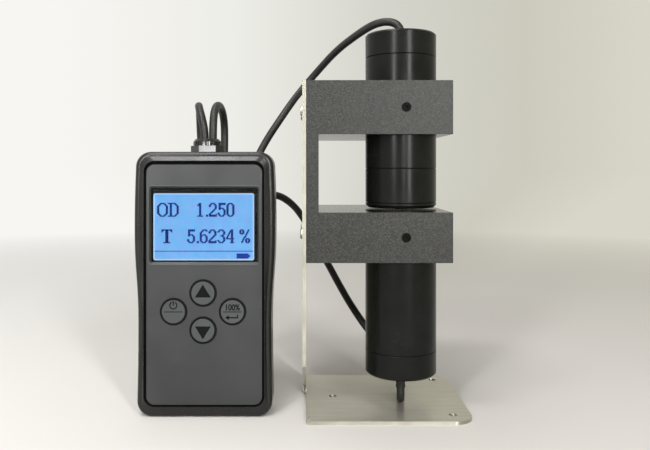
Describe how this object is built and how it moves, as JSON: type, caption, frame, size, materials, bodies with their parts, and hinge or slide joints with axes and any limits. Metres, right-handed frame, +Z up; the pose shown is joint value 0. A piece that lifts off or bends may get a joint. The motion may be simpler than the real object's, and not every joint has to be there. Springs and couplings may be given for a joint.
{
  "type": "optical density meter",
  "caption": "Optical density meter: a hand display unit wired to a light-source head and a receiver head that face each other in a C-shaped bracket on an L-shaped stand.",
  "frame": {"origin": "on the floor, at the middle of the meter and stand together", "axes": "+Z up, +X from the hand meter to the stand, -Y to the front, where the display faces"},
  "size_m": [0.187, 0.097, 0.2252],
  "materials": {
    "stand_steel": "brushed stainless sheet",
    "bracket_coat": "dark fine-textured powder coat over an aluminium block",
    "black_screw": "black oxide steel",
    "plated_screw": "zinc-plated steel",
    "head_black": "satin black anodised, turned",
    "clear_glass": "clear polished glass",
    "filter_glass": "green correction glass",
    "diffuser_white": "opal diffusing plastic",
    "diode_can": "plated metal can",
    "board": "green solder mask on glass-fibre board",
    "lamp": "clear cast resin",
    "sleeve_black": "slightly wrinkled black sleeve",
    "bush_rubber": "moulded black rubber",
    "case_plastic": "fine-textured near-black moulding",
    "panel_plastic": "satin dark grey panel",
    "lcd": "blue-lit liquid crystal panel with dark blue characters",
    "backlight": "white light guide",
    "mat_rubber": "matte black rubber",
    "key_rubber": "dark grey key with printed symbol",
    "cell": "printed wrap over a steel can",
    "gland_plastic": "black nylon",
    "lead_jacket": "matte dark grey cable jacket"
  },
  "bodies": {
    "root": {"stand_plate": "stand_steel", "head_bracket": "bracket_coat", "bracket_screw_1": "plated_screw", "bracket_screw_2": "plated_screw", "bracket_screw_3": "plated_screw", "bracket_screw_4": "plated_screw", "source_stage": "head_black", "source_barrel": "head_black", "source_lens": "clear_glass", "source_cap": "head_black", "source_diffuser": "diffuser_white", "source_lens_tube": "head_black", "source_led": "lamp", "source_board": "board", "source_sleeve": "sleeve_black", "meter_front_shell": "case_plastic", "meter_rear_shell": "case_plastic", "meter_panel": "panel_plastic", "display_lens": "clear_glass", "display_panel": "lcd", "display_backlight": "backlight", "keypad_mat": "mat_rubber", "main_board": "board", "case_screw_1": "plated_screw", "case_screw_2": "plated_screw", "case_screw_3": "plated_screw", "case_screw_4": "plated_screw", "battery_1": "cell", "battery_2": "cell", "battery_3": "cell", "battery_4": "cell", "gland_body": "gland_plastic", "gland_nut": "gland_plastic", "gland_seal": "bush_rubber", "gland_locknut": "gland_plastic", "source_lead": "lead_jacket"},
    "receiver_head": {"receiver_cap": "head_black", "receiver_barrel": "head_black", "receiver_nose": "head_black", "receiver_ring": "head_black", "receiver_window": "clear_glass", "receiver_filter": "filter_glass", "receiver_photodiode": "diode_can", "receiver_board": "board", "receiver_bush": "bush_rubber", "receiver_lead": "lead_jacket"},
    "up_key": {"key_up": "key_rubber"},
    "down_key": {"key_down": "key_rubber"},
    "power_key": {"key_power": "key_rubber"},
    "hundred_key": {"key_hundred": "key_rubber"},
    "upper_clamp": {"upper_clamp_screw": "black_screw"},
    "lower_clamp": {"lower_clamp_screw": "black_screw"},
    "battery_cover": {"battery_door": "case_plastic"}
  },
  "joints": [
    {"name": "receiver_slide", "type": "slide", "parent": "root", "child": "receiver_head", "axis": [0, 0, 1], "range_m": [0, 0.02]},
    {"name": "up_press", "type": "slide", "parent": "root", "child": "up_key", "axis": [0, 1, 0], "range_m": [0, 0.0009], "stiffness_N_per_m": 600},
    {"name": "down_press", "type": "slide", "parent": "root", "child": "down_key", "axis": [0, 1, 0], "range_m": [0, 0.0009], "stiffness_N_per_m": 600},
    {"name": "power_press", "type": "slide", "parent": "root", "child": "power_key", "axis": [0, 1, 0], "range_m": [0, 0.0009], "stiffness_N_per_m": 600},
    {"name": "hundred_press", "type": "slide", "parent": "root", "child": "hundred_key", "axis": [0, 1, 0], "range_m": [0, 0.0009], "stiffness_N_per_m": 600},
    {"name": "upper_clamp_turn", "type": "hinge", "parent": "root", "child": "upper_clamp", "pos_m": [0.05605, -0.04055, 0.17115], "axis": [0, -1, 0], "range_deg": [0, 360]},
    {"name": "lower_clamp_turn", "type": "hinge", "parent": "root", "child": "lower_clamp", "pos_m": [0.05605, -0.04055, 0.1008], "axis": [0, -1, 0], "range_deg": [0, 360]},
    {"name": "battery_cover_slide", "type": "slide", "parent": "root", "child": "battery_cover", "axis": [0, 0, -1], "range_m": [0, 0.008]}
  ]
}
